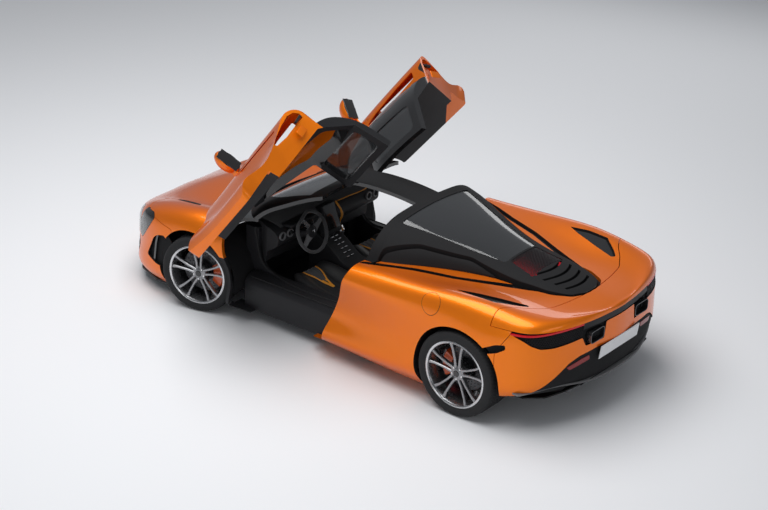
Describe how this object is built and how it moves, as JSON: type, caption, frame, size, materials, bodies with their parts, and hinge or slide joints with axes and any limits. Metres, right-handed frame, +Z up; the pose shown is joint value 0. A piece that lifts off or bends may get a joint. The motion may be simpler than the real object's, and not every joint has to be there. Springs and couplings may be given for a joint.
{
  "type": "two-seat mid-engined supercar with raised doors",
  "caption": "Low mid-engined coupe with upswinging doors, opening bonnet, tilting rear wing, steered front wheels and a two-seat cabin.",
  "frame": {"origin": "on the ground at the middle of the car's length and width", "axes": "+X forward, +Y to the driver's left, +Z up"},
  "size_m": [4.5483, 2.7854, 1.9075],
  "materials": {
    "body_paint": "metallic gloss",
    "gloss_black": "gloss black",
    "black_composite": "satin black",
    "tinted_glass": "tinted, clear coat",
    "lamp_cover": "smoked clear cover over a dark bowl",
    "red_lens": "red lens",
    "tyre": "black tread rubber",
    "wheel_metal": "dark grey, bright machined lip",
    "disc_steel": "ground faces",
    "cabin_trim": "black, soft",
    "seat_leather": "black with coloured piping",
    "plate": "blank, pale grey",
    "exhaust_metal": "polished edge",
    "cast_metal": "cast",
    "suspension_metal": "cast and machined"
  },
  "bodies": {
    "chassis": {"bulkheads": "black_composite", "console": "cabin_trim", "dashboard": "cabin_trim", "diffuser": "black_composite", "engine_block": "cast_metal", "engine_cover": "gloss_black", "exhaust_tips": "exhaust_metal", "floor": "black_composite", "front_bumper": "body_paint", "front_crossmember": "suspension_metal", "front_fenders": "body_paint", "front_rails": "suspension_metal", "headlamps": "lamp_cover", "hinge_pins": "suspension_metal", "luggage_bin": "cabin_trim", "number_plate": "plate", "quarter_panels": "body_paint", "rear_bumper": "body_paint", "rear_frame": "suspension_metal", "rear_screen": "tinted_glass", "rear_uprights": "suspension_metal", "roof_frame": "gloss_black", "seat_left": "seat_leather", "seat_right": "seat_leather", "sills": "black_composite", "splitter": "black_composite", "tail_lamps": "red_lens", "windscreen": "tinted_glass", "wishbones": "suspension_metal"},
    "door_left": {"door_left_shell": "body_paint", "door_left_glass": "tinted_glass", "door_left_mirror": "body_paint"},
    "door_right": {"door_right_shell": "body_paint", "door_right_glass": "tinted_glass", "door_right_mirror": "body_paint"},
    "bonnet": {"bonnet": "body_paint"},
    "rear_wing": {"rear_wing": "body_paint"},
    "steering_wheel": {"steering_wheel": "cabin_trim"},
    "knuckle_left": {"knuckle_left": "suspension_metal"},
    "knuckle_right": {"knuckle_right": "suspension_metal"},
    "wheel_front_left": {"tyre_front_left": "tyre", "rim_front_left": "wheel_metal", "disc_front_left": "disc_steel"},
    "wheel_front_right": {"tyre_front_right": "tyre", "rim_front_right": "wheel_metal", "disc_front_right": "disc_steel"},
    "wheel_rear_left": {"tyre_rear_left": "tyre", "rim_rear_left": "wheel_metal", "disc_rear_left": "disc_steel"},
    "wheel_rear_right": {"tyre_rear_right": "tyre", "rim_rear_right": "wheel_metal", "disc_rear_right": "disc_steel"}
  },
  "joints": [
    {"name": "door_left", "type": "hinge", "parent": "chassis", "child": "door_left", "pos_m": [0.981, 0.686, 0.753], "axis": [-0.7546, -0.5196, 0.4007], "range_deg": [0, 79.4]},
    {"name": "door_right", "type": "hinge", "parent": "chassis", "child": "door_right", "pos_m": [0.981, -0.686, 0.753], "axis": [0.7546, -0.5196, -0.4007], "range_deg": [0, 79.4]},
    {"name": "bonnet", "type": "hinge", "parent": "chassis", "child": "bonnet", "pos_m": [1.093, 0, 0.812], "axis": [0, -1, 0], "range_deg": [0, 50]},
    {"name": "rear_wing", "type": "hinge", "parent": "chassis", "child": "rear_wing", "pos_m": [-1.69, 0, 0.908], "axis": [0, 1, 0], "range_deg": [0, 50]},
    {"name": "steer_left", "type": "hinge", "parent": "chassis", "child": "knuckle_left", "pos_m": [1.225, 0.762, 0.327], "axis": [0, 0, 1], "range_deg": [-46, 18]},
    {"name": "steer_right", "type": "hinge", "parent": "chassis", "child": "knuckle_right", "pos_m": [1.225, -0.762, 0.327], "axis": [0, 0, 1], "range_deg": [-46, 18]},
    {"name": "steering_wheel", "type": "hinge", "parent": "chassis", "child": "steering_wheel", "pos_m": [0.45, 0.36, 0.735], "axis": [-0.9272, 0, 0.3746], "range_deg": [-690, 270]},
    {"name": "wheel_front_left", "type": "hinge", "parent": "knuckle_left", "child": "wheel_front_left", "pos_m": [1.20686, 0.83477, 0.327], "axis": [-0.2419, 0.9703, 0], "continuous": true},
    {"name": "wheel_front_right", "type": "hinge", "parent": "knuckle_right", "child": "wheel_front_right", "pos_m": [1.24314, -0.83477, 0.327], "axis": [-0.2419, 0.9703, 0], "continuous": true},
    {"name": "wheel_rear_left", "type": "hinge", "parent": "chassis", "child": "wheel_rear_left", "pos_m": [-1.445, 0.812, 0.345], "axis": [0, 1, 0], "continuous": true},
    {"name": "wheel_rear_right", "type": "hinge", "parent": "chassis", "child": "wheel_rear_right", "pos_m": [-1.445, -0.812, 0.345], "axis": [0, 1, 0], "continuous": true}
  ],
  "couplings": [
    {"joint": "steer_right", "follows": "steer_left", "ratio": 1},
    {"joint": "steering_wheel", "follows": "steer_left", "ratio": 15}
  ]
}
